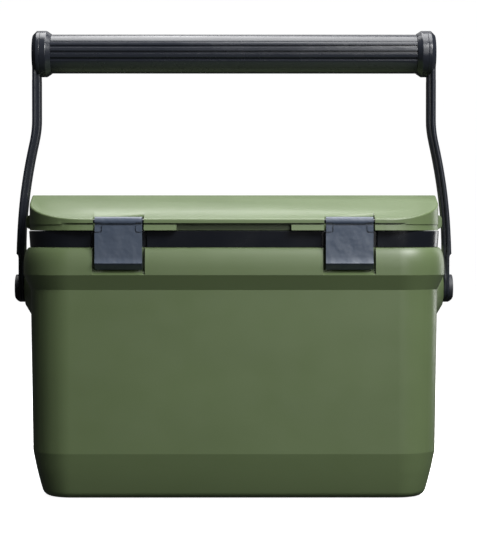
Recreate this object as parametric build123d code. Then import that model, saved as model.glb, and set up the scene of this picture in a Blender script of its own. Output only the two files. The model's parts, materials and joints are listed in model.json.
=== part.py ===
from build123d import *
import math
import os

# Hand-carried hard cooler with a swing-over bail handle, a hinged lid and two front latches.
# Millimetres. +Z is up, -Y is the front with the latches, +X is the right-hand end.
# The origin is on the floor, under the middle of the cooler.

# ---- driving dimensions ----
BODY_BOTTOM = 1.3           # underside of the tub, above the floor
BELT_BOTTOM = 200.0         # lower edge of the wide belt round the top of the tub
BELT_SHOULDER = 206.0       # the belt starts to round inwards here
TUB_TOP = 224.3             # top of the outer shell, where the rim frame sits
RIM_TOP = 239.0
LID_BOTTOM = 239.4
LID_LIP_TOP = 244.6         # top of the lid's lower lip
LID_CREASE = 249.3          # front edge of the lid's sloping top
LID_TOP = 271.4
LID_SLOPE_RUN = 65.0        # how far the slope runs back before the top is flat

END_CENTRE_X = 144.5        # centres of the vertical corner rounds
END_CENTRE_Y = 99.5
BASE_HALF_X = 170.9         # half widths of the outer shell at its levels
CURVE_LEVELS = ((14.0, 174.5), (26.0, 177.6), (42.0, 180.9))  # the foot of the wall curves under
WALL_TOP = 186.9
WALL_HALF_X = 182.8
BELT_HALF_X = 189.2
SHELL_TOP_HALF_X = 183.6
BASE_ROUND = 8.0
SHELL_WALL = 3.0

LINER_FLOOR = 24.0
LINER_BASE_HALF_X = 159.5
LINER_TOP_HALF_X = 165.5
LINER_COLLAR = 220.0
LINER_WALL = 2.5

RIM_HALF_X = 183.2          # at its foot
RIM_TOP_HALF_X = 184.2
RIM_GAP_HALF = 24.5         # half width of the rim's gaps behind latches and hinges

LID_HALF_X = 183.8
LID_LIP_HALF_Y = 144.2      # the lip leans out downwards, so this is its top
LID_LIP_HALF_X = 183.0
LID_LIP_LEAN = 0.7
LID_CAVITY_HALF = (180.2, 139.5)
LID_CAVITY_CORNER = (48.4, 41.5)
LID_HALF_Y = 145.0
LID_CORNER = (52.0, 47.0)    # the lid's corners are quarter ellipses, this wide and deep
LID_LIP_CORNER = (51.2, 46.2)
LID_EDGE_ROUND = 1.8
GROOVE = (244.2, 245.8, 3.6)            # low z, high z and depth of the shadow line across front and back
GROOVE_HALF_X = 170.0
LID_WALL = 3.0
PLUG_BOTTOM = 228.0
PLUG_HALF_X = 159.5
PLUG_TOP_HALF_X = 161.0
FLANGE = 2.5
FINGER_SLOT = (100.6, 5.2, 7.0)         # wide, high, deep
SIDE_LIP_REACH = 189.0
SIDE_LIP_Y = (-84.0, -56.0)
SIDE_LIP_Z = (240.6, 253.4)

FITTING_X = 101.2           # latches in front and hinges behind stand at this distance from the middle
LID_RECESS_WIDTH = 44.5
BELT_RECESS_WIDTH = 46.2
RECESS_FLOOR_Y = 137.0
RIM_RECESS_Y = 135.5
LID_RECESS_Y = 133.5
LID_RECESS_PAD = 5.0
PIN_Y = 142.0               # latch pins at -PIN_Y, hinge pins at +PIN_Y
PIN_Z = 247.3
PIN_RADIUS = 2.0
RUNNING_GAP = 0.05
OVERALL_HALF_Y = 148.5
TUB_SCREW_TIP = 136.0       # the hinge screws end inside the shell wall

PIVOT_Z = 184.6
BOSS_FACE = 198.7
INSERT_START = 184.0        # the threaded insert reaches from here to the boss face
INSERT_RADIUS = 6.0
BOSS_RADIUS = (46.0, 16.5)  # at the wall and at its face
ARM_INNER = 199.5           # inner face of the handle arm at the pivot
ARM_OUTER = 204.6
ARM_STEP = 206.5            # the arm is thicker above the pivot eye
ARM_STEP_Z = 217.0
ARM_TOP_INNER = 184.1
ARM_TOP_OUTER = 191.4
ARM_STRAIGHT_Z = 345.0
ARM_INNER_CURVE = ((188.3, 316.0), (195.9, 271.0), (198.8, 239.0))  # x and z, downwards
ARM_OUTER_CURVE = ((202.9, 271.0), (195.4, 316.0))                  # x and z, upwards
ARM_LEAN = 0.03             # slope of the arm's faces where the curves meet the eye
ARM_HEAD_CHAMFER = 4.0
EYE_RADIUS = 13.3           # also half the arm's width
SHOULDER_RADIUS = 6.0       # the bolt's bearing part
BOLT_RADIUS = 3.0
BOLT_HEAD = (10.0, 2.0)     # radius and height
WASHER = (12.5, 0.5)        # radius and thickness
PIVOT_CAP_RADIUS = 13.0
PIVOT_CAP_ROUND = 1.2
CAP_FACE = 208.3
GRIP_Z = 407.8
GRIP_RADIUS = 18.5
GRIP_HALF = 173.7
GROOVE_ANGLES = (23.5, 5.2, -14.5)  # degrees above the middle of the grip's front
GROOVE_RADIUS = 1.2
CAP_RADIUS = 22.0
CAP_BEVEL = 5.0
ROD_RADIUS = 4.0
GRIP_WALL = 4.5
GRIP_END = 14.0             # the grip is solid for this length at each end

FOOT_X = 121.0
FOOT_Y = 84.0
FOOT_SIZE = (64.0, 38.0)
FOOT_CORNER = 12.0
FOOT_PEG = (4.0, 2.0)       # radius and height of the peg on each foot pad

GASKET = (172.0, 168.0, 1.5)            # outer and inner half width, and thickness

KNUCKLE_RADIUS = 5.0
KNUCKLE_HALF = 13.0         # half width of the hinge's middle knuckle
KNUCKLE_GAP = 0.4
HINGE_HALF = 22.0
STRAP_Y = (142.8, 147.0)
HINGE_FOOT_HALF = 20.0
HINGE_FOOT_Z = (206.0, 221.5)
HINGE_LEAF_Z = (241.0, 251.0)
HINGE_LEAF_THICKNESS = 2.5
TUB_SCREW_Z = 213.0
TUB_SCREW_STEP = 8.0        # tub screws stand this far either side of a hinge's middle
TUB_SCREW_RADIUS = (2.0, 4.0)           # shank and head
TUB_SCREW_HEAD = 3.0
LID_SCREW_Z = 245.5
LID_SCREW_STEP = 6.0
LID_SCREW_RADIUS = (1.5, 3.0)           # shank and head
LID_SCREW_SEAT = 1.0        # the heads start this far into the leaf

LATCH_HALF = 20.75
LATCH_BAR_RADIUS = 4.0
LATCH_WEB = ((-144.0, -140.6), 242.0)   # y range and lowest z
PLATE_BACK = -142.2
PLATE_FRONT = -146.2
PLATE_TOP = 243.6
PLATE_FOOT = 216.3          # the finger lip flares out below here
LATCH_LIP = ((-148.5, 210.5), (-147.6, 209.2), (-141.4, 204.8))  # y and z, downwards
LATCH_HOOK_Y = -140.9       # the foot of the plate reaches back to here, below the keeper
LATCH_HOOK_Z = (206.0, 214.5, 217.0)
KEEPER_HALF = 15.0
KEEPER_FRONT = -140.5
KEEPER_Z = (216.0, 220.0)

TIE_SCREW_RADIUS = (2.5, 3.0, 6.0)      # thread, shank and head
TIE_SCREW_HEAD = 3.0

SIDES = {"left": -1, "right": 1}


def outline(z, half_x, half_y, radius):
    return Plane.XY.offset(z) * RectangleRounded(2 * half_x, 2 * half_y, radius)


def level(z, half_x):
    """One level of the tub family: every level shares the corner centres."""
    radius = half_x - END_CENTRE_X
    return outline(z, half_x, END_CENTRE_Y + radius, radius)


def stacked(levels):
    return loft([level(z, half_x) for z, half_x in levels], ruled=True)


def block(x, y, z):
    """A box from its lowest to its highest value on each axis."""
    size = [high - low for low, high in (x, y, z)]
    centre = [(high + low) / 2 for low, high in (x, y, z)]
    return Pos(*centre) * Box(*size)


def x_rod(x, y, z, radius):
    """A cylinder along X between two x values."""
    low, high = sorted(x)
    return Pos((low + high) / 2, y, z) * Rot(0, 90, 0) * Cylinder(radius, high - low)


def y_rod(x, y, z, radius):
    """A cylinder along Y between two y values."""
    low, high = sorted(y)
    return Pos(x, (low + high) / 2, z) * Rot(90, 0, 0) * Cylinder(radius, high - low)


def side_profile(points, centre_x, width):
    """A (y, z) outline, as wide as given along X."""
    face = Plane.YZ * make_face(Polyline(*points, close=True))
    return Pos(centre_x, 0, 0) * extrude(face, width / 2, both=True)


def mirrored_x(shape):
    return mirror(shape, Plane.YZ)


def save(name, shape):
    solids = list(shape.solids())
    kept = solids[0] if len(solids) == 1 else Compound(children=solids)
    export_step(kept, f"parts/{name}.step")


# ---- tub: outer shell, liner, foam, rim frame, feet ----
def shoulder_levels(steps=6):
    """The belt's top edge rounds inwards on a quarter of an ellipse."""
    reach = BELT_HALF_X - SHELL_TOP_HALF_X
    rise = TUB_TOP - BELT_SHOULDER
    turns = [math.pi / 2 * i / steps for i in range(steps + 1)]
    return [(BELT_SHOULDER + rise * math.sin(a), SHELL_TOP_HALF_X + reach * math.cos(a)) for a in turns]


def belt_recess(side_x, facing):
    """Recess in the belt behind a latch (facing -1) or under a hinge (facing 1)."""
    floor = RECESS_FLOOR_Y * facing
    edge = (END_CENTRE_Y + BELT_HALF_X - END_CENTRE_X) * facing
    beyond = 160.0 * facing
    points = [(beyond, 240.0), (floor, 240.0), (floor, 205.0), (edge, 200.2), (beyond, 200.2)]
    return side_profile(points, side_x, BELT_RECESS_WIDTH)


def make_tub_shell():
    levels = [(BODY_BOTTOM, BASE_HALF_X), *CURVE_LEVELS, (WALL_TOP, WALL_HALF_X)]
    levels += [(BELT_BOTTOM, BELT_HALF_X)] + shoulder_levels()
    body = stacked(levels)
    body = fillet(body.edges().group_by(Axis.Z)[0], BASE_ROUND)
    for sign in SIDES.values():
        base = Plane.YZ.offset(sign * (WALL_HALF_X - 2)) * Pos(0, PIVOT_Z) * Circle(BOSS_RADIUS[0])
        face = Plane.YZ.offset(sign * BOSS_FACE) * Pos(0, PIVOT_Z) * Circle(BOSS_RADIUS[1])
        body += loft([base, face])
        body -= x_rod((sign * INSERT_START, sign * BOSS_FACE), 0, PIVOT_Z, INSERT_RADIUS)
        for facing in (-1, 1):
            body -= belt_recess(sign * FITTING_X, facing)
    body -= shell_cavity()
    body -= block((-250, 250), (-250, 250), (TUB_TOP, TUB_TOP + 50))
    for foot in foot_places():
        body -= Pos(*foot, BODY_BOTTOM) * foot_peg()
    for x in hinge_screw_x(TUB_SCREW_STEP):
        body -= y_rod(x, (RECESS_FLOOR_Y, 130.0), TUB_SCREW_Z, TUB_SCREW_RADIUS[0])
    return body


def shell_cavity():
    wall = SHELL_WALL
    levels = [(BODY_BOTTOM + wall, BASE_HALF_X - wall)] + [(z, x - wall) for z, x in CURVE_LEVELS]
    levels += [(WALL_TOP, WALL_HALF_X - wall), (TUB_TOP, SHELL_TOP_HALF_X - wall)]
    return stacked(levels)


def liner_outer():
    levels = [(LINER_FLOOR, LINER_BASE_HALF_X), (LINER_COLLAR, LINER_TOP_HALF_X), (RIM_TOP, LINER_TOP_HALF_X)]
    return stacked(levels)


def make_tub_liner():
    wall = LINER_WALL
    levels = [(LINER_FLOOR + wall, LINER_BASE_HALF_X - wall), (LINER_COLLAR, LINER_TOP_HALF_X - wall)]
    levels += [(RIM_TOP, LINER_TOP_HALF_X - wall)]
    return liner_outer() - stacked(levels)


def make_tub_foam():
    return shell_cavity() - liner_outer()


def make_rim_frame():
    ring = stacked([(TUB_TOP, RIM_HALF_X), (RIM_TOP, RIM_TOP_HALF_X)])
    ring -= stacked([(TUB_TOP, LINER_TOP_HALF_X), (RIM_TOP, LINER_TOP_HALF_X)])
    for sign in SIDES.values():
        for facing in (-1, 1):
            y = sorted((facing * RIM_RECESS_Y, facing * 150.0))
            x = sign * FITTING_X
            ring -= block((x - RIM_GAP_HALF, x + RIM_GAP_HALF), y, (TUB_TOP, RIM_TOP))
    return ring


def foot_places():
    return [(x, y) for x in (-FOOT_X, FOOT_X) for y in (-FOOT_Y, FOOT_Y)]


def foot_peg():
    radius, height = FOOT_PEG
    return Pos(0, 0, height / 2) * Cylinder(radius, height)


def make_foot_pads():
    pads = []
    for x, y in foot_places():
        pad = Pos(x, y, 0) * extrude(RectangleRounded(*FOOT_SIZE, FOOT_CORNER), BODY_BOTTOM)
        pads.append(pad + Pos(x, y, BODY_BOTTOM) * foot_peg())
    return Compound(children=pads)


def hinge_screw_x(spread):
    return [sign * FITTING_X + step for sign in SIDES.values() for step in (-spread, spread)]


# ---- lid ----
def lid_outline(z, half_x, half_y, corner):
    """A rectangle with elliptical corners, as a face at height z."""
    reach_x, reach_y = corner
    x, y = half_x - reach_x, half_y - reach_y
    edges = []
    for sign_x, sign_y, start in ((1, 1, 0), (-1, 1, 90), (-1, -1, 180), (1, -1, 270)):
        arc = EllipticalCenterArc((sign_x * x, sign_y * y), reach_x, reach_y, start, arc_size=90)
        edges.append(arc)
    edges.append(Line((x, half_y), (-x, half_y)))
    edges.append(Line((-half_x, y), (-half_x, -y)))
    edges.append(Line((-x, -half_y), (x, -half_y)))
    edges.append(Line((half_x, -y), (half_x, y)))
    return Plane.XY.offset(z) * make_face(edges)


def lid_groove(facing):
    """Straight shadow-line groove across the front (-1) or back (1) that runs out at the corners."""
    low, high, depth = GROOVE
    y = sorted((facing * (LID_HALF_Y - depth), facing * 160.0))
    return block((-GROOVE_HALF_X, GROOVE_HALF_X), y, (low, high))


def lid_slopes(lower):
    """Everything above the lid's flat top and its front and rear slopes, moved down by lower."""
    flat_y = LID_HALF_Y - LID_SLOPE_RUN
    rise = (LID_TOP - LID_CREASE) / LID_SLOPE_RUN
    far = LID_HALF_Y + 20.0
    far_z = LID_CREASE - 20.0 * rise - lower
    top = LID_TOP - lower
    points = [(-far, far_z), (-flat_y, top), (flat_y, top), (far, far_z), (far, 300.0), (-far, 300.0)]
    return side_profile(points, 0, 500.0)


def lid_recess(side_x, facing, pad):
    """Recess for a latch or hinge barrel, open upwards, with walls of pad round it."""
    back = (LID_RECESS_Y - pad) * facing
    ramp = (LID_RECESS_Y - 8.5 - pad) * facing
    beyond = 160.0 * facing
    low = LID_BOTTOM - 1.0
    points = [(beyond, low), (back, low), (back, 251.5 + pad), (ramp, 256.5 + pad)]
    points += [(ramp, 290.0), (beyond, 290.0)]
    return side_profile(points, side_x, LID_RECESS_WIDTH + 2 * pad)


def finger_slot(pad):
    wide, high, deep = FINGER_SLOT
    front = (-160.0, -LID_LIP_HALF_Y + deep + pad)
    return block((-wide / 2 - pad, wide / 2 + pad), front, (LID_BOTTOM - 1.0, LID_BOTTOM + high + pad))


def lid_recesses(pad):
    cuts = [lid_recess(sign * FITTING_X, facing, pad) for sign in SIDES.values() for facing in (-1, 1)]
    return cuts + [finger_slot(pad)]


def lid_cavity():
    floor = lid_outline(LID_BOTTOM, *LID_CAVITY_HALF, LID_CAVITY_CORNER)
    space = extrude(floor, LID_TOP - LID_BOTTOM)
    space -= lid_slopes(LID_WALL)
    for cut in lid_recesses(LID_RECESS_PAD):
        space -= cut
    return space


def lid_lip():
    """Band below the groove, wider at its foot than at its top."""
    lean = LID_LIP_LEAN
    foot_corner = tuple(reach + lean for reach in LID_LIP_CORNER)
    foot = lid_outline(LID_BOTTOM, LID_LIP_HALF_X + lean, LID_LIP_HALF_Y + lean, foot_corner)
    top = lid_outline(LID_LIP_TOP, LID_LIP_HALF_X, LID_LIP_HALF_Y, LID_LIP_CORNER)
    return loft([foot, top], ruled=True)


def make_lid_shell():
    upper_face = lid_outline(LID_LIP_TOP, LID_HALF_X, LID_HALF_Y, LID_CORNER)
    upper = extrude(upper_face, LID_TOP - LID_LIP_TOP) - lid_slopes(0.0)
    rims = upper.edges().filter_by(lambda e: e.center().Z > LID_CREASE - 0.01)
    rims = rims.filter_by(lambda e: e.geom_type != GeomType.LINE or abs(e.center().X) > 1 or
                          abs(e.center().Y) > LID_HALF_Y - 1)
    upper = fillet(rims, LID_EDGE_ROUND)
    lid = lid_lip() + upper
    lid -= lid_cavity()
    for cut in lid_recesses(0.0) + [lid_groove(-1), lid_groove(1)]:
        lid -= cut
    reach = LID_RECESS_WIDTH / 2 + LID_RECESS_PAD
    for sign in SIDES.values():
        x = sign * FITTING_X
        lid -= x_rod((x - reach, x + reach), -PIN_Y, PIN_Z, PIN_RADIUS)
    for x in hinge_screw_x(LID_SCREW_STEP):
        lid -= y_rod(x, (LID_RECESS_Y - LID_RECESS_PAD, LID_RECESS_Y), LID_SCREW_Z, LID_SCREW_RADIUS[0])
    return lid


def lid_side_lip():
    """Finger lip on the right-hand end of the lid, ahead of the handle arm."""
    lip = block((LID_HALF_X, SIDE_LIP_REACH), SIDE_LIP_Y, SIDE_LIP_Z)
    return fillet(lip.edges().filter_by(Axis.Y).sort_by(Axis.X)[-2:], 4.0)


def plug(inset):
    base = PLUG_BOTTOM + inset
    half = PLUG_HALF_X - inset
    top = LID_BOTTOM + FLANGE
    return stacked([(base, half), (top, PLUG_TOP_HALF_X - inset)])


def gasket_ring():
    outer, inner, thickness = GASKET
    top = LID_BOTTOM + thickness
    return stacked([(LID_BOTTOM, outer), (top, outer)]) - stacked([(LID_BOTTOM, inner), (top, inner)])


def make_lid_liner():
    slab = block((-200, 200), (-200, 200), (LID_BOTTOM, LID_BOTTOM + FLANGE))
    return (lid_cavity() & slab) + plug(0.0) - plug(FLANGE) - gasket_ring()


def make_lid_foam():
    above = block((-200, 200), (-200, 200), (LID_BOTTOM + FLANGE, 300))
    return (lid_cavity() & above) + plug(FLANGE)


# ---- hinges, at the back ----
def hinge_base(x):
    """Strap screwed to the tub, with the middle knuckle of the hinge."""
    shank, head = TUB_SCREW_RADIUS
    knuckle = x_rod((x - KNUCKLE_HALF, x + KNUCKLE_HALF), PIN_Y, PIN_Z, KNUCKLE_RADIUS)
    strap = block((x - KNUCKLE_HALF, x + KNUCKLE_HALF), STRAP_Y, (HINGE_FOOT_Z[0], PIN_Z))
    foot_x = (x - HINGE_FOOT_HALF, x + HINGE_FOOT_HALF)
    foot = block(foot_x, (RECESS_FLOOR_Y, OVERALL_HALF_Y), HINGE_FOOT_Z)
    foot = fillet(foot.edges().filter_by(Axis.Y), 3.0)
    leaf = knuckle + strap + foot - x_rod((x - 14, x + 14), PIN_Y, PIN_Z, PIN_RADIUS + RUNNING_GAP)
    for step in (-TUB_SCREW_STEP, TUB_SCREW_STEP):
        leaf -= y_rod(x + step, (RECESS_FLOOR_Y, OVERALL_HALF_Y), TUB_SCREW_Z, shank)
        leaf -= y_rod(x + step, (OVERALL_HALF_Y - TUB_SCREW_HEAD, OVERALL_HALF_Y), TUB_SCREW_Z, head)
    return leaf


def hinge_leaf(x):
    """Plate screwed to the lid, with the two outer knuckles."""
    shank, head = LID_SCREW_RADIUS
    front = LID_RECESS_Y + HINGE_LEAF_THICKNESS
    near = KNUCKLE_HALF + KNUCKLE_GAP
    leaf = block((x - HINGE_HALF, x + HINGE_HALF), (LID_RECESS_Y, front), HINGE_LEAF_Z)
    for low, high in ((x - HINGE_HALF, x - near), (x + near, x + HINGE_HALF)):
        leaf += x_rod((low, high), PIN_Y, PIN_Z, KNUCKLE_RADIUS)
        leaf += block((low, high), (LID_RECESS_Y, PIN_Y), (PIN_Z - KNUCKLE_RADIUS, PIN_Z + 2.0))
    leaf -= x_rod((x - HINGE_HALF - 1, x + HINGE_HALF + 1), PIN_Y, PIN_Z, PIN_RADIUS)
    for step in (-LID_SCREW_STEP, LID_SCREW_STEP):
        leaf -= y_rod(x + step, (LID_RECESS_Y, front), LID_SCREW_Z, shank)
        leaf -= y_rod(x + step, (LID_RECESS_Y + LID_SCREW_SEAT, front), LID_SCREW_Z, head)
    return leaf


def make_tub_screws():
    shank, head = TUB_SCREW_RADIUS
    seat = OVERALL_HALF_Y - TUB_SCREW_HEAD
    screws = []
    for x in hinge_screw_x(TUB_SCREW_STEP):
        screw = y_rod(x, (TUB_SCREW_TIP, seat), TUB_SCREW_Z, shank)
        screws.append(screw + y_rod(x, (seat, OVERALL_HALF_Y - 0.4), TUB_SCREW_Z, head))
    return Compound(children=screws)


def make_lid_screws():
    shank, head = LID_SCREW_RADIUS
    seat = LID_RECESS_Y + LID_SCREW_SEAT
    screws = []
    for x in hinge_screw_x(LID_SCREW_STEP):
        screw = y_rod(x, (LID_RECESS_Y - LID_RECESS_PAD, seat), LID_SCREW_Z, shank)
        screws.append(screw + y_rod(x, (seat, seat + 1.3), LID_SCREW_Z, head))
    return Compound(children=screws)


# ---- latches, at the front ----
def latch(x):
    """Pull-down plate that hangs from a bar, with a flared finger lip."""
    width = (x - LATCH_HALF, x + LATCH_HALF)
    web_y, web_low = LATCH_WEB
    hook_low, hook_high, hook_end = LATCH_HOOK_Z
    body = x_rod(width, -PIN_Y, PIN_Z, LATCH_BAR_RADIUS) + block(width, web_y, (web_low, PIN_Z))
    points = [(PLATE_BACK, PLATE_TOP), (PLATE_FRONT, PLATE_TOP), (PLATE_FRONT, PLATE_FOOT), *LATCH_LIP]
    points += [(LATCH_HOOK_Y, hook_low), (LATCH_HOOK_Y, hook_high), (PLATE_BACK, hook_end)]
    body += side_profile(points, x, 2 * LATCH_HALF)
    return body - x_rod((x - 22, x + 22), -PIN_Y, PIN_Z, PIN_RADIUS + RUNNING_GAP)


def latch_keeper(x):
    keeper = block((x - KEEPER_HALF, x + KEEPER_HALF), (KEEPER_FRONT, -RECESS_FLOOR_Y), KEEPER_Z)
    return fillet(keeper.edges().filter_by(Axis.X).group_by(Axis.Y)[0], 1.2)


def fitting_pin(x, y, half):
    return x_rod((x - half, x + half), y, PIN_Z, PIN_RADIUS)


# ---- handle, built at the right-hand end ----
def handle_arm():
    """Strap that bows in from the pivot eye to the end of the grip."""
    outer_points = [(ARM_STEP, ARM_STEP_Z), *ARM_OUTER_CURVE, (ARM_TOP_OUTER, ARM_STRAIGHT_Z)]
    eye_top = PIVOT_Z + EYE_RADIUS
    inner_points = [(ARM_TOP_INNER, ARM_STRAIGHT_Z), *ARM_INNER_CURVE, (ARM_INNER, eye_top)]
    outer_top = Spline(*[(x, 0, z) for x, z in outer_points], tangents=[(-ARM_LEAN, 0, 1), (0, 0, 1)])
    inner_top = Spline(*[(x, 0, z) for x, z in inner_points], tangents=[(0, 0, -1), (ARM_LEAN, 0, -1)])
    head_z = GRIP_Z + CAP_RADIUS
    foot_z = PIVOT_Z - EYE_RADIUS
    lines = [outer_top, inner_top]
    lines.append(Polyline((ARM_TOP_OUTER, 0, ARM_STRAIGHT_Z), (ARM_TOP_OUTER, 0, head_z),
                          (ARM_TOP_INNER, 0, head_z), (ARM_TOP_INNER, 0, ARM_STRAIGHT_Z)))
    lines.append(Polyline((ARM_INNER, 0, eye_top), (ARM_INNER, 0, foot_z), (ARM_OUTER, 0, foot_z),
                          (ARM_OUTER, 0, ARM_STEP_Z - 1.5), (ARM_STEP, 0, ARM_STEP_Z)))
    front = extrude(make_face(Wire(sum([line.edges() for line in lines], []))), 30.0, both=True)
    strap = block((150, 250), (-EYE_RADIUS, EYE_RADIUS), (PIVOT_Z, GRIP_Z))
    side = strap + x_rod((150, 250), 0, PIVOT_Z, EYE_RADIUS) + x_rod((150, 250), 0, GRIP_Z, CAP_RADIUS)
    arm = front & side
    arm -= x_rod((190, 215), 0, PIVOT_Z, SHOULDER_RADIUS + RUNNING_GAP)
    arm -= x_rod((180, 195), 0, GRIP_Z, TIE_SCREW_RADIUS[1])
    arm -= x_rod((ARM_TOP_OUTER - TIE_SCREW_HEAD, 195), 0, GRIP_Z, TIE_SCREW_RADIUS[2])
    outer_edge = arm.edges().filter_by(GeomType.CIRCLE).filter_by(lambda e: abs(e.radius - CAP_RADIUS) < 0.01)
    outer_edge = outer_edge.sort_by(Axis.X)[-1]
    return chamfer(outer_edge, ARM_HEAD_CHAMFER)


def grip_end_cap():
    cap = x_rod((GRIP_HALF, ARM_TOP_INNER), 0, GRIP_Z, CAP_RADIUS)
    inner_edge = cap.edges().filter_by(GeomType.CIRCLE).sort_by(Axis.X)[0]
    cap = chamfer(inner_edge, CAP_BEVEL, CAP_RADIUS - GRIP_RADIUS - 0.5)
    return cap - x_rod((GRIP_HALF - 1, ARM_TOP_INNER + 1), 0, GRIP_Z, ROD_RADIUS)


def make_handle_grip():
    """Round grip with lengthwise grooves at the front and back."""
    grip = x_rod((-GRIP_HALF, GRIP_HALF), 0, GRIP_Z, GRIP_RADIUS)
    for angle in GROOVE_ANGLES:
        for turn in (angle, 180.0 - angle):
            y = -GRIP_RADIUS * math.cos(math.radians(turn))
            z = GRIP_Z + GRIP_RADIUS * math.sin(math.radians(turn))
            grip -= x_rod((-GRIP_HALF, GRIP_HALF), y, z, GROOVE_RADIUS)
    hollow = GRIP_HALF - GRIP_END
    grip -= x_rod((-hollow, hollow), 0, GRIP_Z, GRIP_RADIUS - GRIP_WALL)
    return grip - x_rod((-GRIP_HALF - 1, GRIP_HALF + 1), 0, GRIP_Z, ROD_RADIUS)


def make_tie_rod():
    rod = x_rod((-ARM_TOP_INNER, ARM_TOP_INNER), 0, GRIP_Z, ROD_RADIUS)
    for sign in SIDES.values():
        hole = (sign * (ARM_TOP_INNER - 14), sign * (ARM_TOP_INNER + 1))
        rod -= x_rod(hole, 0, GRIP_Z, TIE_SCREW_RADIUS[0])
    return rod


def grip_screw():
    thread, shank, head = TIE_SCREW_RADIUS
    tip = ARM_TOP_INNER - 12
    seat = ARM_TOP_OUTER - TIE_SCREW_HEAD
    screw = x_rod((tip, ARM_TOP_INNER), 0, GRIP_Z, thread)
    screw += x_rod((ARM_TOP_INNER, seat), 0, GRIP_Z, shank)
    return screw + x_rod((seat, ARM_TOP_OUTER - 0.4), 0, GRIP_Z, head)


def pivot_insert():
    sleeve = x_rod((INSERT_START, BOSS_FACE), 0, PIVOT_Z, INSERT_RADIUS)
    return sleeve - x_rod((INSERT_START - 1, BOSS_FACE + 1), 0, PIVOT_Z, BOLT_RADIUS)


def pivot_bolt():
    head = ARM_OUTER + 0.3
    radius, height = BOLT_HEAD
    bolt = x_rod((INSERT_START + 1, BOSS_FACE), 0, PIVOT_Z, BOLT_RADIUS)
    bolt += x_rod((BOSS_FACE, head), 0, PIVOT_Z, SHOULDER_RADIUS)
    return bolt + x_rod((head, head + height), 0, PIVOT_Z, radius)


def pivot_washer():
    radius, thickness = WASHER
    ring = x_rod((BOSS_FACE, BOSS_FACE + thickness), 0, PIVOT_Z, radius)
    return ring - x_rod((BOSS_FACE - 1, BOSS_FACE + 2), 0, PIVOT_Z, SHOULDER_RADIUS)


def pivot_cap():
    cap = x_rod((ARM_OUTER, CAP_FACE), 0, PIVOT_Z, PIVOT_CAP_RADIUS)
    outer_edge = cap.edges().filter_by(GeomType.CIRCLE).sort_by(Axis.X)[-1]
    cap = fillet(outer_edge, PIVOT_CAP_ROUND)
    return cap - x_rod((ARM_OUTER - 1, CAP_FACE - 0.9), 0, PIVOT_Z, BOLT_HEAD[0] + 0.6)


def main():
    os.makedirs("parts", exist_ok=True)
    save("tub_shell", make_tub_shell())
    save("tub_liner", make_tub_liner())
    save("tub_foam", make_tub_foam())
    save("rim_frame", make_rim_frame())
    save("foot_pads", make_foot_pads())
    save("hinge_screws_tub", make_tub_screws())
    save("hinge_screws_lid", make_lid_screws())
    save("lid_shell", make_lid_shell())
    save("lid_liner", make_lid_liner())
    save("lid_foam", make_lid_foam())
    save("lid_gasket", gasket_ring())
    save("handle_grip", make_handle_grip())
    save("grip_tie_rod", make_tie_rod())
    for side, sign in SIDES.items():
        x = sign * FITTING_X
        save(f"hinge_base_{side}", hinge_base(x))
        save(f"hinge_leaf_{side}", hinge_leaf(x))
        save(f"hinge_pin_{side}", fitting_pin(x, PIN_Y, HINGE_HALF))
        save(f"latch_{side}", latch(x))
        save(f"latch_keeper_{side}", latch_keeper(x))
        save(f"latch_pin_{side}", fitting_pin(x, -PIN_Y, LID_RECESS_WIDTH / 2 + LID_RECESS_PAD))
        handed = (lambda shape: shape) if sign > 0 else mirrored_x
        save(f"lid_side_lip_{side}", handed(lid_side_lip()))
        save(f"handle_arm_{side}", handed(handle_arm()))
        save(f"grip_end_cap_{side}", handed(grip_end_cap()))
        save(f"grip_screw_{side}", handed(grip_screw()))
        save(f"pivot_insert_{side}", handed(pivot_insert()))
        save(f"pivot_bolt_{side}", handed(pivot_bolt()))
        save(f"pivot_washer_{side}", handed(pivot_washer()))
        save(f"pivot_cap_{side}", handed(pivot_cap()))


main()
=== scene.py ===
import json
import math

import bmesh
import bpy
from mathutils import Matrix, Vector


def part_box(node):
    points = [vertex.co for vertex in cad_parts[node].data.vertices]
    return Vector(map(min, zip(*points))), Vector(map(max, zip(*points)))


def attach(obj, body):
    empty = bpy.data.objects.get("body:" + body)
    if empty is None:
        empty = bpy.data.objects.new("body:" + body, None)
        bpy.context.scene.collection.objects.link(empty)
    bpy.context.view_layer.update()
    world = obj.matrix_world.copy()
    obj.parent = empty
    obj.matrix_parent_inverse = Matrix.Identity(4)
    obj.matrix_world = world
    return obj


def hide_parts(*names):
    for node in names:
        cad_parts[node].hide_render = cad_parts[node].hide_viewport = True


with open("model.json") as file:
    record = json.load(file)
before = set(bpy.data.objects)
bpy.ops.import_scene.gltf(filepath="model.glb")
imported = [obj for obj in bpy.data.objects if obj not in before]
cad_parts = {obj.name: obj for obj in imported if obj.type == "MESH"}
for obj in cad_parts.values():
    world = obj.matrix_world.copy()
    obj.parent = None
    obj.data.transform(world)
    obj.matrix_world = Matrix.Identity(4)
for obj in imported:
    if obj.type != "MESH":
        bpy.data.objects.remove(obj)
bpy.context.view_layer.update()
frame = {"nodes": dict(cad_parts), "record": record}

MM = 0.001
SIDES = {"left": -1, "right": 1}


# ---- camera, light and floor ----
def make_camera():
    """Straight on from the front, a little above half the height, with a long lens."""
    distance, eye_height, aim_height, aim_right = 1.70, 0.2353, 0.2018, 0.0043
    data = bpy.data.cameras.new("camera")
    data.lens = 118.5
    data.sensor_width = 36.0
    data.clip_end = 50.0
    camera = bpy.data.objects.new("camera", data)
    bpy.context.scene.collection.objects.link(camera)
    eye = Vector((0.0, -distance, eye_height))
    target = Vector((aim_right, 0.0, aim_height))
    camera.location = eye
    camera.rotation_euler = (target - eye).to_track_quat("-Z", "Y").to_euler()
    bpy.context.scene.camera = camera


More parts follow.
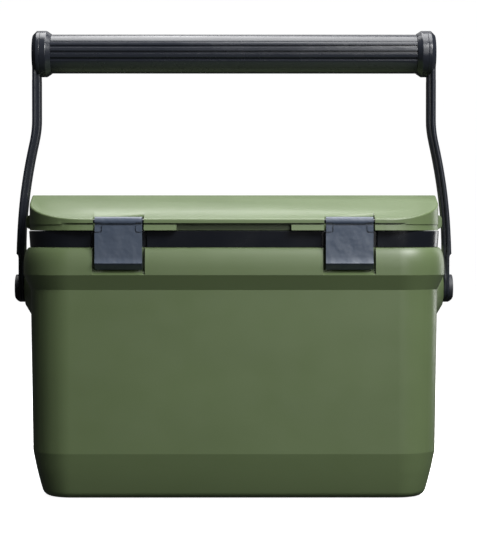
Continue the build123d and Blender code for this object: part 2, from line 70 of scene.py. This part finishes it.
def make_softbox(name, place, target, size, power):
    """A rectangular area light at place that faces target."""
    data = bpy.data.lights.new(name, "AREA")
    data.shape = "RECTANGLE"
    data.size, data.size_y = size
    data.energy = power
    light = bpy.data.objects.new(name, data)
    bpy.context.scene.collection.objects.link(light)
    light.location = place
    aim = Vector(target) - Vector(place)
    light.rotation_euler = aim.to_track_quat("-Z", "Y").to_euler()


def make_lights():
    """Softboxes above, at the front right and behind, and faint light from everywhere."""
    make_softbox("overhead", (0.1, 0.1, 1.6), (0.0, 0.0, 0.3), (1.6, 0.95), 38.0)
    make_softbox("key", (0.85, -1.15, 1.35), (0.05, 0.0, 0.22), (1.0, 0.6), 45.0)
    make_softbox("front", (0.65, -2.2, 0.8), (0.0, 0.0, 0.3), (0.7, 1.0), 10.0)
    make_softbox("edge", (1.3, 1.15, 0.45), (0.0, 0.0, 0.25), (0.5, 0.9), 5.0)
    make_softbox("rear", (0.2, 1.45, 1.6), (0.0, 0.0, 0.27), (1.5, 0.9), 4.0)
    world = bpy.data.worlds.new("studio")
    world.use_nodes = True
    background = world.node_tree.nodes["Background"]
    background.inputs["Color"].default_value = (0.95, 0.97, 1.0, 1.0)
    background.inputs["Strength"].default_value = 0.04
    bpy.context.scene.world = world
    bpy.context.scene.view_settings.view_transform = "Standard"


def glowing_paint(name, grey, strength):
    """A grey paint that also gives off white light, and its Principled shader."""
    paint = bpy.data.materials.new(name)
    paint.use_nodes = True
    shader = paint.node_tree.nodes["Principled BSDF"]
    shader.inputs["Base Color"].default_value = (grey, grey, grey, 1.0)
    shader.inputs["Emission Color"].default_value = (1.0, 1.0, 1.0, 1.0)
    shader.inputs["Emission Strength"].default_value = strength
    return paint, shader


def make_stage():
    """A pale floor, and a white dome far outside that only the camera sees."""
    reach, dome_radius = 7.0, 9.0
    floor_mesh = bpy.data.meshes.new("floor")
    signs = ((-1, -1), (1, -1), (1, 1), (-1, 1))
    corners = [(x * reach, y * reach, 0.0) for x, y in signs]
    floor_mesh.from_pydata(corners, [], [(0, 1, 2, 3)])
    floor = bpy.data.objects.new("floor", floor_mesh)
    paint, shader = glowing_paint("floor_paint", 0.93, 0.96)
    shader.inputs["Roughness"].default_value = 0.9
    shader.inputs["Specular IOR Level"].default_value = 0.0
    floor_mesh.materials.append(paint)
    dome_mesh = bpy.data.meshes.new("dome")
    bm = bmesh.new()
    bmesh.ops.create_uvsphere(bm, u_segments=48, v_segments=24, radius=dome_radius)
    bm.to_mesh(dome_mesh)
    bm.free()
    dome = bpy.data.objects.new("dome", dome_mesh)
    dome_mesh.materials.append(glowing_paint("dome_white", 0.0, 1.0)[0])
    for item in (floor, dome):
        bpy.context.scene.collection.objects.link(item)
        item.visible_glossy = False
        item.visible_diffuse = False
    dome.visible_shadow = False


# ---- materials ----
class Shader:
    """A Principled material with its node tree at hand."""

    def __init__(self, name):
        self.material = bpy.data.materials.new(name)
        self.material.use_nodes = True
        self.tree = self.material.node_tree
        self.surface = self.tree.nodes["Principled BSDF"]
        self.coords = self.tree.nodes.new("ShaderNodeTexCoord").outputs["Object"]

    def set(self, **values):
        """Sets inputs of the Principled shader, with _ for each space in their names."""
        for socket, value in values.items():
            self.surface.inputs[socket.replace("_", " ")].default_value = value

    def node(self, kind, **inputs):
        """Adds a node whose inputs are values or other nodes' outputs."""
        made = self.tree.nodes.new(kind)
        for socket, value in inputs.items():
            key = socket.replace("_", " ")
            if isinstance(value, bpy.types.NodeSocket):
                self.tree.links.new(value, made.inputs[key])
            else:
                made.inputs[key].default_value = value
        return made

    def noise(self, scale, detail=3.0, stretch=None):
        vector = self.coords
        if stretch:
            mapping = self.node("ShaderNodeMapping", Vector=vector, Scale=stretch)
            vector = mapping.outputs["Vector"]
        made = self.node("ShaderNodeTexNoise", Vector=vector, Scale=scale, Detail=detail)
        return made.outputs["Fac"]

    def ramp(self, fac, stops):
        """Turns a value into a colour by stops of (position, colour)."""
        made = self.node("ShaderNodeValToRGB", Fac=fac)
        elements = made.color_ramp.elements
        while len(elements) < len(stops):
            elements.new(0.5)
        for element, (position, colour) in zip(elements, stops):
            element.position = position
            element.color = (*colour, 1.0)
        return made.outputs["Color"]

    def spread(self, fac, low, high):
        """Maps the middle of a noise's range onto low to high."""
        made = self.node("ShaderNodeMapRange", Value=fac, To_Min=low, To_Max=high)
        made.inputs["From Min"].default_value = 0.3
        made.inputs["From Max"].default_value = 0.7
        return made.outputs["Result"]

    def mix(self, fac, first, second):
        """Mixes two colours; sockets 6, 7 and output 2 are the node's colour ones."""
        made = self.tree.nodes.new("ShaderNodeMix")
        made.data_type = "RGBA"
        for index, value in ((0, fac), (6, first), (7, second)):
            if isinstance(value, bpy.types.NodeSocket):
                self.tree.links.new(value, made.inputs[index])
            else:
                made.inputs[index].default_value = value
        return made.outputs[2]

    def bump(self, height, strength, distance, below=None):
        """A bump by height, on top of the bump below where there is one."""
        made = self.node("ShaderNodeBump", Height=height, Strength=strength, Distance=distance)
        if below is not None:
            self.tree.links.new(below, made.inputs["Normal"])
        return made.outputs["Normal"]

    def link(self, output, socket):
        self.tree.links.new(output, self.surface.inputs[socket])


def scaled(colour, factor):
    """The colour made lighter or darker by factor."""
    return tuple(min(1.0, c * factor) for c in colour)


def moulded_plastic(name, colour, roughness, grain=0.0006, relief=0.00003, wear=1.25,
                    vary=0.06, waves=(14.0, 0.12, 0.0006)):
    """Moulded plastic: fine spark grain, faint flow marks, rubbed edges and uneven sheen.

    grain is the size of the grain and relief its depth, both in metres. wear brightens rubbed
    edges, vary is how much the colour varies, waves are scale, strength and depth of soft waves.
    """
    s = Shader(name)
    flow = s.noise(9.0, 4.0, (1.0, 1.0, 2.2))
    base = s.ramp(flow, [(0.3, scaled(colour, 1.0 - vary)), (0.7, scaled(colour, 1.0 + vary))])
    edge = s.node("ShaderNodeNewGeometry").outputs["Pointiness"]
    rubbed = s.ramp(edge, [(0.515, (0.0, 0.0, 0.0)), (0.56, (0.55, 0.55, 0.55))])
    s.link(s.mix(rubbed, base, (*scaled(colour, wear), 1.0)), "Base Color")
    s.link(s.spread(s.noise(38.0, 5.0), roughness - 0.05, roughness + 0.06), "Roughness")
    scale, strength, depth = waves
    coarse = s.bump(s.noise(scale, 2.0), strength, depth)
    s.link(s.bump(s.noise(1.0 / grain, 2.0), 0.45, relief, coarse), "Normal")
    return s


def make_materials():
    green = (0.094, 0.130, 0.058)
    slate = (0.045, 0.059, 0.086)
    night = (0.0135, 0.0155, 0.0215)
    made = {
        "green_shell": moulded_plastic("green_moulding", green, 0.4, vary=0.035, wear=1.3),
        "liner_plastic": moulded_plastic("pale_liner", (0.60, 0.61, 0.60), 0.35, wear=1.05),
        "rim_black": moulded_plastic("black_gloss", (0.006, 0.007, 0.010), 0.22, relief=0.000008),
        "handle_plastic": moulded_plastic("night_satin", night, 0.24, grain=0.0005,
                                          relief=0.00001),
        "latch_plastic": moulded_plastic("slate_satin", slate, 0.38, grain=0.0005,
                                         waves=(75.0, 0.4, 0.002)),
        # The pivot caps' plastic is the handle's, darkened to 0.8 as painted shade, with a matt
        # finish of its own.
        "pivot_cap": moulded_plastic("night_matt", scaled(night, 0.8), 0.55, grain=0.0005),
        "black_rubber": moulded_plastic("black_rubber", (0.016, 0.016, 0.016), 0.75, grain=0.0008),
        "nylon": moulded_plastic("natural_nylon", (0.50, 0.50, 0.46), 0.45),
        "foam": foam_material(),
        "steel": metal_material("turned_steel", (0.56, 0.56, 0.57), 0.28),
        "brass": metal_material("turned_brass", (0.72, 0.52, 0.24), 0.3),
    }
    made["handle_plastic"].set(Specular_IOR_Level=0.42)
    return {slot: shader.material for slot, shader in made.items()}


def foam_material():
    s = Shader("closed_cell_foam")
    cells = s.node("ShaderNodeTexVoronoi", Vector=s.coords, Scale=700.0).outputs["Distance"]
    s.link(s.ramp(cells, [(0.0, (0.62, 0.54, 0.32)), (0.6, (0.78, 0.70, 0.46))]), "Base Color")
    s.set(Roughness=0.9)
    s.link(s.bump(cells, 0.6, 0.0003), "Normal")
    return s


def metal_material(name, colour, roughness):
    s = Shader(name)
    s.set(Metallic=1.0)
    lines = s.noise(900.0, 2.0, (1.0, 0.05, 1.0))
    s.link(s.ramp(lines, [(0.3, scaled(colour, 0.85)), (0.7, scaled(colour, 1.1))]), "Base Color")
    s.link(s.spread(lines, roughness - 0.06, roughness + 0.1), "Roughness")
    s.link(s.bump(lines, 0.2, 0.00002), "Normal")
    return s


# ---- mesh helpers ----
def finished(piece, body, slot, node):
    """Gives a piece its material and its body, and hides the CAD node that it stands for."""
    piece.data.materials.clear()
    piece.data.materials.append(MATERIALS[slot])
    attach(piece, body)
    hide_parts(node)


def as_object(name, bm):
    """An object made of bm, with its faces all turned outwards."""
    mesh = bpy.data.meshes.new(name)
    bmesh.ops.recalc_face_normals(bm, faces=bm.faces)
    bm.to_mesh(mesh)
    bm.free()
    piece = bpy.data.objects.new(name, mesh)
    bpy.context.scene.collection.objects.link(piece)
    return piece


def apply_modifiers(piece):
    """Replaces the piece's mesh by what its modifiers make of it."""
    depsgraph = bpy.context.evaluated_depsgraph_get()
    mesh = bpy.data.meshes.new_from_object(piece.evaluated_get(depsgraph), depsgraph=depsgraph)
    piece.modifiers.clear()
    old = piece.data
    piece.data = mesh
    bpy.data.meshes.remove(old)


def bevelled(piece, width, segments=3, angle=28.0):
    """Rounds every edge that turns by more than angle, in degrees."""
    bevel = piece.modifiers.new("bevel", "BEVEL")
    bevel.width = width
    bevel.segments = segments
    bevel.limit_method = "ANGLE"
    bevel.angle_limit = math.radians(angle)
    bevel.miter_outer = "MITER_ARC"
    bevel.use_clamp_overlap = True
    apply_modifiers(piece)


def smoothed(piece, angle=40.0):
    """Smooth shading that keeps flat faces flat and edges sharper than angle crisp."""
    for polygon in piece.data.polygons:
        polygon.use_smooth = True
    piece.data.set_sharp_from_angle(angle=math.radians(angle))
    weighted = piece.modifiers.new("weighted", "WEIGHTED_NORMAL")
    weighted.keep_sharp = True
    apply_modifiers(piece)


def copied(node, name):
    """A welded copy of a CAD node's mesh."""
    bm = bmesh.new()
    bm.from_mesh(frame["nodes"][node].data)
    bmesh.ops.remove_doubles(bm, verts=bm.verts, dist=2e-6)
    flat = math.radians(0.4)
    bmesh.ops.dissolve_limit(bm, angle_limit=flat, verts=bm.verts, edges=bm.edges)
    return as_object(name, bm)


def softened(node, body, slot):
    """A copy of a CAD node's mesh with its sharp edges rounded."""
    piece = copied(node, f"{node}_soft")
    bevelled(piece, 0.6 * MM)
    smoothed(piece)
    finished(piece, body, slot, node)


def weighted_bevel(piece, width, weight_of):
    """Bevels each edge by its own share of width."""
    bm = bmesh.new()
    bm.from_mesh(piece.data)
    layer = bm.edges.layers.float.new("bevel_weight_edge")
    for edge in bm.edges:
        edge[layer] = weight_of(edge)
    bm.to_mesh(piece.data)
    bm.free()
    bevel = piece.modifiers.new("bevel", "BEVEL")
    bevel.width = width
    bevel.segments = 4
    bevel.limit_method = "WEIGHT"
    bevel.miter_outer = "MITER_ARC"
    apply_modifiers(piece)


def cut(piece, *cutters, operation="DIFFERENCE"):
    """Takes the cutters out of the piece, or joins them to it, and removes them."""
    for cutter in cutters:
        boolean = piece.modifiers.new("cut", "BOOLEAN")
        boolean.operation = operation
        boolean.solver = "EXACT"
        boolean.object = cutter
        apply_modifiers(piece)
        mesh = cutter.data
        bpy.data.objects.remove(cutter)
        bpy.data.meshes.remove(mesh)


def rings(name, loops):
    """A closed skin over loops of points, capped at both ends."""
    bm = bmesh.new()
    made = [[bm.verts.new(point) for point in loop] for loop in loops]
    count = len(made[0])
    for low, high in zip(made, made[1:]):
        for i in range(count):
            j = (i + 1) % count
            bm.faces.new((low[i], low[j], high[j], high[i]))
    bm.faces.new(list(reversed(made[0])))
    bm.faces.new(made[-1])
    return as_object(name, bm)


def turned(name, outline, centre, turns=96):
    """Turns an outline of (x, radius) pairs round the X axis through centre (y, z)."""
    y, z = centre
    angles = [math.tau * i / turns for i in range(turns)]
    loops = [[(x, y + radius * math.cos(a), z + radius * math.sin(a)) for a in angles]
             for x, radius in outline]
    return rings(name, loops)


def slab(name, outline, low, high, axis="X"):
    """A flat outline made thick from low to high: (y, z) pairs along X, or (x, z) along Y."""
    if axis == "X":
        loops = [[(at, first, second) for first, second in outline] for at in (low, high)]
    else:
        loops = [[(first, at, second) for first, second in outline] for at in (low, high)]
    return rings(name, loops)


def span(node):
    """The CAD node's lowest and highest corner."""
    low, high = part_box(node)
    return Vector(low), Vector(high)


# ---- handle ----
# Grooves of the grip, alike at the front and the back: degrees above the horizontal, depth in mm.
GRIP_GROOVES = ((-19.5, 1.3), (0.0, 1.4), (18.5, 1.3), (34.5, 0.35))
BROAD_GROOVE, SLIM_GROOVE = 4.4, 1.6  # half widths in degrees
GROOVE_FLANK = 0.9  # width of a groove's sloping wall in degrees
GRIP_STEP = 2.5  # degrees between the points of the grip's round parts

# The handle's arm.
ARM_INSIDE, ARM_OUTSIDE = 0.15, 0.25  # x on the two sides of the arm, well clear of it
ARM_PROBE_Y = -9.0 * MM  # where the faces are looked for, clear of the eye's bore
ARM_STEP_HEIGHT = 32.0 * MM  # from the pivot up to the step in the CAD arm
BORE_SPAN = (0.19, 0.22)  # x from inside the arm's foot to outside it
RIB_START, RIB_RUN, RIB_RECESS = 10.0 * MM, 15.0 * MM, 4.0 * MM
RIB_SHARE = 0.42  # of the arm's thickness, measured from the inside


def grip_profile():
    """One side of the grip, bottom to top: degrees above the horizontal and depth in mm."""
    profile = []
    angle = -90.0
    for middle, depth in GRIP_GROOVES:
        half = BROAD_GROOVE if depth > 1 else SLIM_GROOVE
        while angle < middle - half - 1.0:
            profile.append((angle, 0.0))
            angle += GRIP_STEP
        profile += [(middle - half, 0.0), (middle - half + GROOVE_FLANK, depth)]
        profile += [(middle + half - GROOVE_FLANK, depth), (middle + half, 0.0)]
        angle = middle + half + 1.5
    while angle < 89.0:
        profile.append((angle, 0.0))
        angle += GRIP_STEP
    return profile


def make_grip():
    """Ribbed grip: lengthwise lands between broad dark grooves, smooth below."""
    low, high = span("handle_grip")
    radius = (high.z - low.z) / 2
    centre = (low.z + high.z) / 2
    front = grip_profile()
    loop = []
    for facing, profile in ((1, front), (-1, reversed(front))):
        for angle, depth in profile:
            reach = radius - depth * MM
            turn = math.radians(angle)
            loop.append((-facing * reach * math.cos(turn), centre + reach * math.sin(turn)))
    grip = slab("grip_ribbed", loop, low.x, high.x)
    bevelled(grip, 0.25 * MM, 2)
    smoothed(grip)
    finished(grip, "handle", "handle_plastic", "handle_grip")


def make_end_cap(side):
    """Round cap that tapers towards the grip."""
    node = f"grip_end_cap_{side}"
    sign = SIDES[side]
    low, high = span(node)
    centre = (low.z + high.z) / 2
    radius = (high.z - low.z) / 2
    inner, outer = sorted((abs(low.x), abs(high.x)))
    taper, taper_length = 3.0 * MM, 4.6 * MM
    outline = [(inner, radius - taper), (inner + taper_length, radius), (outer, radius)]
    cap = turned(f"end_cap_{side}", [(sign * x, r) for x, r in outline], (0.0, centre))
    bevelled(cap, 0.5 * MM, angle=15.0)
    smoothed(cap)
    finished(cap, "handle", "handle_plastic", node)


def arm_faces(cad, sign, z):
    """How far out the CAD arm's inner and outer faces are at height z."""
    found = []
    for start, way in ((ARM_INSIDE, 1), (ARM_OUTSIDE, -1)):
        origin = Vector((sign * start, ARM_PROBE_Y, z))
        hit, place, _, _ = cad.ray_cast(origin, Vector((sign * way, 0, 0)))
        found.append(abs(place.x) if hit else None)
    return found


def arm_levels(pivot, half_depth, head):
    """Heights of the arm's sections: round the foot, up to the step, and on to the head."""
    foot, shank, strap = 26, 12, 90
    step = pivot + ARM_STEP_HEIGHT
    levels = [pivot - half_depth * math.cos(math.pi / 2 * i / foot) for i in range(1, foot + 1)]
    levels += [pivot + (step - 0.8 * MM - pivot) * i / shank for i in range(1, shank + 1)]
    levels += [step + 0.9 * MM + (head - step) * i / strap for i in range(strap)]
    return levels


def arm_section(inner, outer, depth, rib):
    """Half a section as (x, y): the inner rib, set back by rib's share, and the crowned flange."""
    waist = max(depth - RIB_RECESS * rib, 0.3 * MM)
    split = inner + (outer - inner) * RIB_SHARE
    edge = min(0.9 * MM, depth * 0.5)
    half = [(inner, waist - edge), (inner + 0.35 * MM, waist - 0.3 * edge), (inner + edge, waist)]
    half += [(split, waist), (split + 0.02 * MM, depth - 0.9 * edge)]
    for share in (0.12, 0.28, 0.45, 0.62, 0.8, 0.93):
        crown = depth - 0.9 * edge * abs(2 * share - 1) ** 2.2
        half.append((split + (outer - split) * share, crown))
    half.append((outer, depth - edge))
    return half


def make_arm(side):
    """Bowed strap with an outer flange in front of a slimmer inner rib, round at both ends."""
    node = f"handle_arm_{side}"
    sign = SIDES[side]
    cad = frame["nodes"][node]
    low, high = span(node)
    pivot = frame["record"]["behaviour"]["joints"][0]["pos_m"][2]
    head_radius = (high.y - low.y) / 2
    head = high.z - head_radius
    half_depth = pivot - low.z
    foot_faces = arm_faces(cad, sign, pivot + half_depth * 0.8)
    loops = []
    for z in arm_levels(pivot, half_depth, head):
        inner, outer = arm_faces(cad, sign, z) if z > pivot else foot_faces
        if z > head - 25 * MM:
            # Keeps the strap's faces off the flat faces of the disc that joins them here.
            inner, outer = inner + 0.1 * MM, outer - 0.1 * MM
        drop = max(0.0, pivot - z)
        depth = math.sqrt(max(half_depth ** 2 - drop ** 2, (0.4 * MM) ** 2))
        rib = min(1.0, max(0.0, (z - pivot - RIB_START) / RIB_RUN))
        half = arm_section(inner, outer, depth, rib)
        loop = [(sign * x, -y, z) for x, y in half]
        loops.append(loop + [(sign * x, y, z) for x, y in reversed(half)])
    strap = rings(f"arm_{side}", loops)

    inner = min(abs(low.x), abs(high.x))
    outer = arm_faces(cad, sign, head + 8 * MM)[1]
    rim = 4.0 * MM
    outline = [(inner, head_radius), (outer - rim, head_radius), (outer, head_radius - rim)]
    disc = turned("disc", [(sign * x, r) for x, r in outline], (0.0, head))
    bevelled(disc, 0.4 * MM, 2, angle=15.0)
    seat_radius, bore_radius = 6.0 * MM, 6.1 * MM
    seat = [(sign * x, seat_radius) for x in (outer - 3.0 * MM, outer + 1.0 * MM)]
    bore = [(sign * x, bore_radius) for x in BORE_SPAN]
    seat = turned("seat", seat, (0.0, head), 48)
    bore = turned("bore", bore, (0.0, pivot), 64)
    cut(strap, disc, operation="UNION")
    cut(strap, seat, bore)
    smoothed(strap, 32.0)
    finished(strap, "handle", "handle_plastic", node)


def make_pivot_cap(side):
    """Round cap, cut back towards its lower outer edge."""
    node = f"pivot_cap_{side}"
    sign = SIDES[side]
    low, high = span(node)
    inner, outer = sorted((abs(low.x), abs(high.x)))
    centre = (low.z + high.z) / 2
    radius = (high.z - low.z) / 2
    slope_start, slope_growth = 7.0 * MM, 95.0
    turns = 72
    loops = []
    outline = [(inner, 1.0), (outer - 0.7 * MM, 1.0), (outer - 0.2 * MM, 0.985), (outer, 0.95)]
    outline += [(outer, tenths / 10) for tenths in range(9, 0, -1)]
    for x, share in outline:
        loop = []
        for i in range(turns):
            turn = math.tau * i / turns
            y = radius * share * math.cos(turn)
            rise = radius * share * math.sin(turn)
            below = max(0.0, -rise - slope_start)
            reach = min(x, outer - slope_growth * below ** 2)
            loop.append((sign * max(reach, inner), y, centre + rise))
        loops.append(loop)
    cap = rings(f"cap_{side}", loops)
    pocket_radius = 10.25 * MM
    pocket = [(sign * x, pocket_radius) for x in (inner - 1.0 * MM, outer - 1.2 * MM)]
    cut(cap, turned("pocket", pocket, (0.0, centre), turns))
    smoothed(cap, 35.0)
    finished(cap, "handle", "handle_plastic", node)
    # The caps' darker tone is painted shade; their matt finish is their own.
    cap.data.materials[0] = MATERIALS["pivot_cap"]


# ---- latches ----
LATCH_FRONT = -146.2 * MM  # y of the plate's front face
SLIT_LOW, SLIT_HIGH = 243.9 * MM, 245.3 * MM
BLOCK_WIDTH, BLOCK_HEIGHT, BLOCK_GAP = 5.4 * MM, 5.8 * MM, 1.0 * MM
BLOCK_BEND = 1.8 * MM  # radius of a block's lower inner corner


def notch(depth, top):
    """Outline as (y, z) of a cut into the plate's front, from the slit's lower edge up to top."""
    clear, inside = LATCH_FRONT - 5 * MM, LATCH_FRONT + depth
    return [(clear, SLIT_LOW), (inside, SLIT_LOW), (inside, top), (clear, top)]


def corner_outline(middle, edge, way, grow, beyond):
    """Outline as (x, z) of a block in a top corner.

    grow makes it wider and taller, beyond moves its outer and upper edges outwards.
    """
    inner = edge - way * BLOCK_WIDTH - way * grow
    bottom = SLIT_LOW - BLOCK_HEIGHT - grow
    steps = 6
    points = [(edge + way * beyond, SLIT_LOW + beyond), (edge + way * beyond, bottom)]
    for i in range(steps + 1):
        turn = math.pi / 2 * i / steps
        x = inner + way * BLOCK_BEND * (1 - math.sin(turn))
        points.append((x, bottom + BLOCK_BEND * (1 - math.cos(turn))))
    points.append((inner, SLIT_LOW + beyond))
    return [(middle + x, z) for x, z in points]


def make_latch(side):
    """Latch plate with a dark slit under the barrel and a small block let into each top corner."""
    node = f"latch_{side}"
    low, high = span(node)
    middle = (low.x + high.x) / 2
    reach = 30.0 * MM
    latch = copied(node, f"latch_plate_{side}")
    cut(latch, slab("slit", notch(2.3 * MM, SLIT_HIGH), middle - reach, middle + reach))
    blocks = []
    for way in (-1, 1):
        edge = (high.x - middle) * way
        outline = corner_outline(middle, edge, way, BLOCK_GAP, 2 * MM)
        hollow = slab("hollow", outline, LATCH_FRONT - MM, LATCH_FRONT + 1.5 * MM, "Y")
        outline = corner_outline(middle, edge, way, 0.0, -0.15 * MM)
        face, back = LATCH_FRONT + 0.5 * MM, LATCH_FRONT + 2.0 * MM
        blocks.append(slab("block", outline, face, back, "Y"))
        cut(latch, hollow)
        ends = sorted((middle + edge - way * BLOCK_WIDTH, middle + edge + way * 2 * MM))
        cut(latch, slab("end", notch(1.6 * MM, SLIT_HIGH + 0.9 * MM), *ends))
    cut(latch, *blocks, operation="UNION")
    bevelled(latch, 0.35 * MM, 2)
    smoothed(latch, 35.0)
    finished(latch, f"{side}_latch", "latch_plastic", node)


# ---- tub and lid ----
FITTING_X = 101.2 * MM  # from the middle to each latch, and to each hinge behind it
RECESS_HALF = 23.1 * MM  # half width of a recess in the tub's belt
RECESS_FOOT = (200.0 * MM, 201.0 * MM)  # its lower edge lies between these heights
RAMP_FOOT = (250.0 * MM, 258.0 * MM)  # so does the lower edge of a recess ramp in the lid
CORNER_X, CORNER_Y = 144.5 * MM, 99.5 * MM  # centre of the tub's corner rounds
# Each crease of the tub that is rounded: its height and its least ring_radius, in mm.
CREASES = {42.0: 34.5, 186.9: 36.5, 200.0: 43.0}
BELT_FACE_Y = 139.0 * MM  # the belt's front and back lie further out than this
NEAR = 0.1 * MM  # how close counts as being at a place


def make_lid():
    """The lid shell with rounded recess mouths and a crisp edge where each recess ramp starts."""
    lid = copied("lid_shell", "lid_moulding")
    bevelled(lid, 0.6 * MM)
    smoothed(lid)
    reach, least_length = 24 * MM, 10 * MM
    low, high = RAMP_FOOT
    bm = bmesh.new()
    bm.from_mesh(lid.data)
    for edge in bm.edges:
        ends = [vert.co for vert in edge.verts]
        near = all(abs(abs(end.x) - FITTING_X) < reach for end in ends)
        along = abs(ends[0].x - ends[1].x) > least_length
        if near and along and all(low < end.z < high for end in ends):
            edge.smooth = False
    bm.to_mesh(lid.data)
    bm.free()
    finished(lid, "lid", "green_shell", "lid_shell")


def ring_radius(point):
    """Distance from the rectangle that joins the centres of the tub's corner rounds."""
    across = max(abs(point.x) - CORNER_X, 0.0)
    along = max(abs(point.y) - CORNER_Y, 0.0)
    return math.hypot(across, along)


def rounding(edge):
    """The share of the full bevel width that an edge of the tub gets."""
    if not edge.is_manifold:
        return 0.0
    ends = [vert.co for vert in edge.verts]
    turn = math.degrees(edge.calc_face_angle(0.0))
    for level, least in CREASES.items():
        at_level = all(abs(end.z - level * MM) < NEAR for end in ends)
        if at_level and all(ring_radius(end) > least * MM for end in ends):
            return 1.0 if turn > 5 else 0.0
    if turn < 28:
        return 0.0
    sides = [sign * FITTING_X + way * RECESS_HALF for sign in (-1, 1) for way in (-1, 1)]
    beside = all(min(abs(end.x - x) for x in sides) < NEAR for end in ends)
    low, high = RECESS_FOOT
    below = all(low < end.z < high for end in ends)
    if (beside or below) and all(abs(end.y) > BELT_FACE_Y for end in ends):
        return 0.8
    return 0.3


def make_tub():
    """The tub shell with wide rounds at its creases and round the recesses in its belt."""
    tub = copied("tub_shell", "tub_moulding")
    weighted_bevel(tub, 1.9 * MM, rounding)
    smoothed(tub)
    finished(tub, "tub", "green_shell", "tub_shell")


make_camera()
make_lights()
make_stage()
MATERIALS = make_materials()

slots = {part["node"]: part["material_slot"] for part in frame["record"]["subparts"]}
bodies = {}
for body_name, members in frame["record"]["behaviour"]["bodies"].items():
    for member in members:
        bodies[member] = body_name

for node_name, node_object in frame["nodes"].items():
    node_object.data.materials.clear()
    node_object.data.materials.append(MATERIALS[slots[node_name]])

made_here = {"handle_grip", "tub_shell", "lid_shell"}
make_grip()
make_tub()
make_lid()
for side in SIDES:
    make_end_cap(side)
    make_arm(side)
    make_pivot_cap(side)
    make_latch(side)
    made_here |= {f"{part}_{side}" for part in ("grip_end_cap", "handle_arm", "pivot_cap", "latch")}

# These are inside other pieces, with their ends showing at most, so the CAD's meshes stay.
hidden_inside = ("tub_foam", "lid_foam", "grip_tie_rod", "pivot_insert", "hinge_pin", "latch_pin")
for node_name in sorted(frame["nodes"]):
    if node_name not in made_here and not node_name.startswith(hidden_inside):
        softened(node_name, bodies[node_name], slots[node_name])
